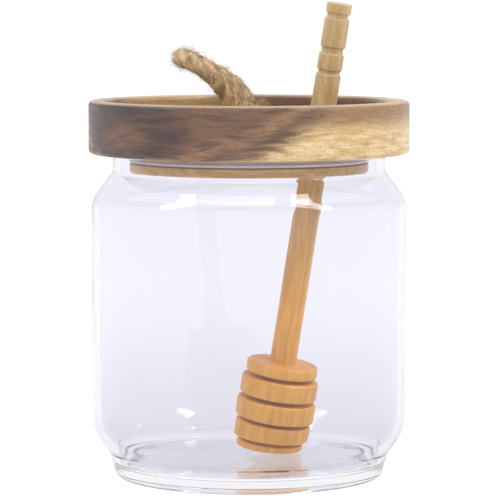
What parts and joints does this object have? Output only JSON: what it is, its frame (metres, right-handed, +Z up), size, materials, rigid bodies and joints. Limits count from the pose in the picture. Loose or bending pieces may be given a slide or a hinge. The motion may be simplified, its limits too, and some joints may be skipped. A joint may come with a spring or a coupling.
{
  "type": "glass honey pot with dipper",
  "caption": "Empty clear glass honey pot with a turned wooden lid, a rope loop to lift it and a wooden dipper leaning out through the lid.",
  "frame": {"origin": "middle of the jar's foot, on the surface that it stands on", "axes": "+Z up along the jar's axis, +Y away from the viewer of the front, +X to the viewer's right, which is the side that the dipper leans to"},
  "size_m": [0.1, 0.1, 0.1481],
  "materials": {
    "jar_glass": "clear smooth glass",
    "lid_wood": "acacia with dark heartwood and pale sapwood, oiled satin",
    "plug_wood": "pale turned wood, satin",
    "seal_silicone": "translucent grey silicone",
    "dipper_wood": "fine-grained tan wood, smooth turned",
    "rope_jute": "twisted jute fibres, matt and hairy"
  },
  "bodies": {
    "root": {"glass_jar": "jar_glass", "lid": "lid_wood", "lid_plug": "plug_wood", "seal_ring": "seal_silicone", "dipper": "dipper_wood", "rope_loop": "rope_jute"}
  },
  "joints": []
}
